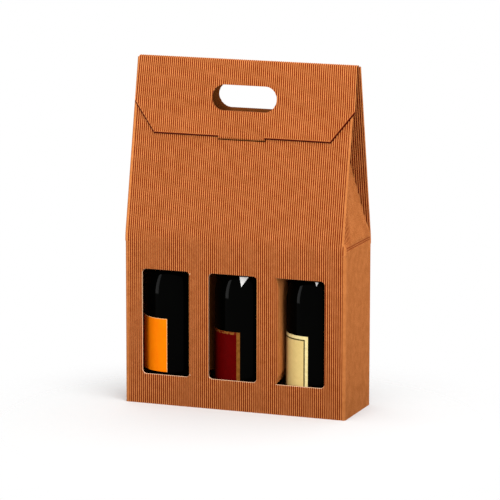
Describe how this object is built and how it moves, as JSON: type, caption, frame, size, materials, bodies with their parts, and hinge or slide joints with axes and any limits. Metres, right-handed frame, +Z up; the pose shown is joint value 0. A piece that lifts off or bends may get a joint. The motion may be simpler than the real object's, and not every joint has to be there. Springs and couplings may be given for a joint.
{
  "type": "wine carry carton",
  "caption": "Gable-topped carry carton of open-fluted brown board with front windows, a hinged tuck-in lid and a hand hole, holding three wine bottles side by side.",
  "frame": {"origin": "middle of the base, on the surface that the carton stands on", "axes": "+Z up, -Y out of the windowed front, +X to the right as seen from the front"},
  "size_m": [0.27, 0.088, 0.401],
  "materials": {
    "fluted_board": "matt",
    "dark_glass": "gloss",
    "foil": "satin",
    "orange_paper": "satin",
    "red_paper": "satin",
    "cream_paper": "matt",
    "white_paper": "matt"
  },
  "bodies": {
    "carton": {"carton": "fluted_board", "bottle_left": "dark_glass", "bottle_middle": "dark_glass", "bottle_right": "dark_glass", "capsule_left": "foil", "capsule_middle": "foil", "capsule_right": "foil", "label_left": "orange_paper", "label_middle": "red_paper", "label_right": "cream_paper", "neck_label_middle": "white_paper", "neck_label_right": "white_paper"},
    "lid": {"lid": "fluted_board"}
  },
  "joints": [
    {"name": "lid_hinge", "type": "hinge", "parent": "carton", "child": "lid", "pos_m": [0, 0.0035, 0.39925], "axis": [-1, 0, 0], "range_deg": [0, 180]}
  ]
}
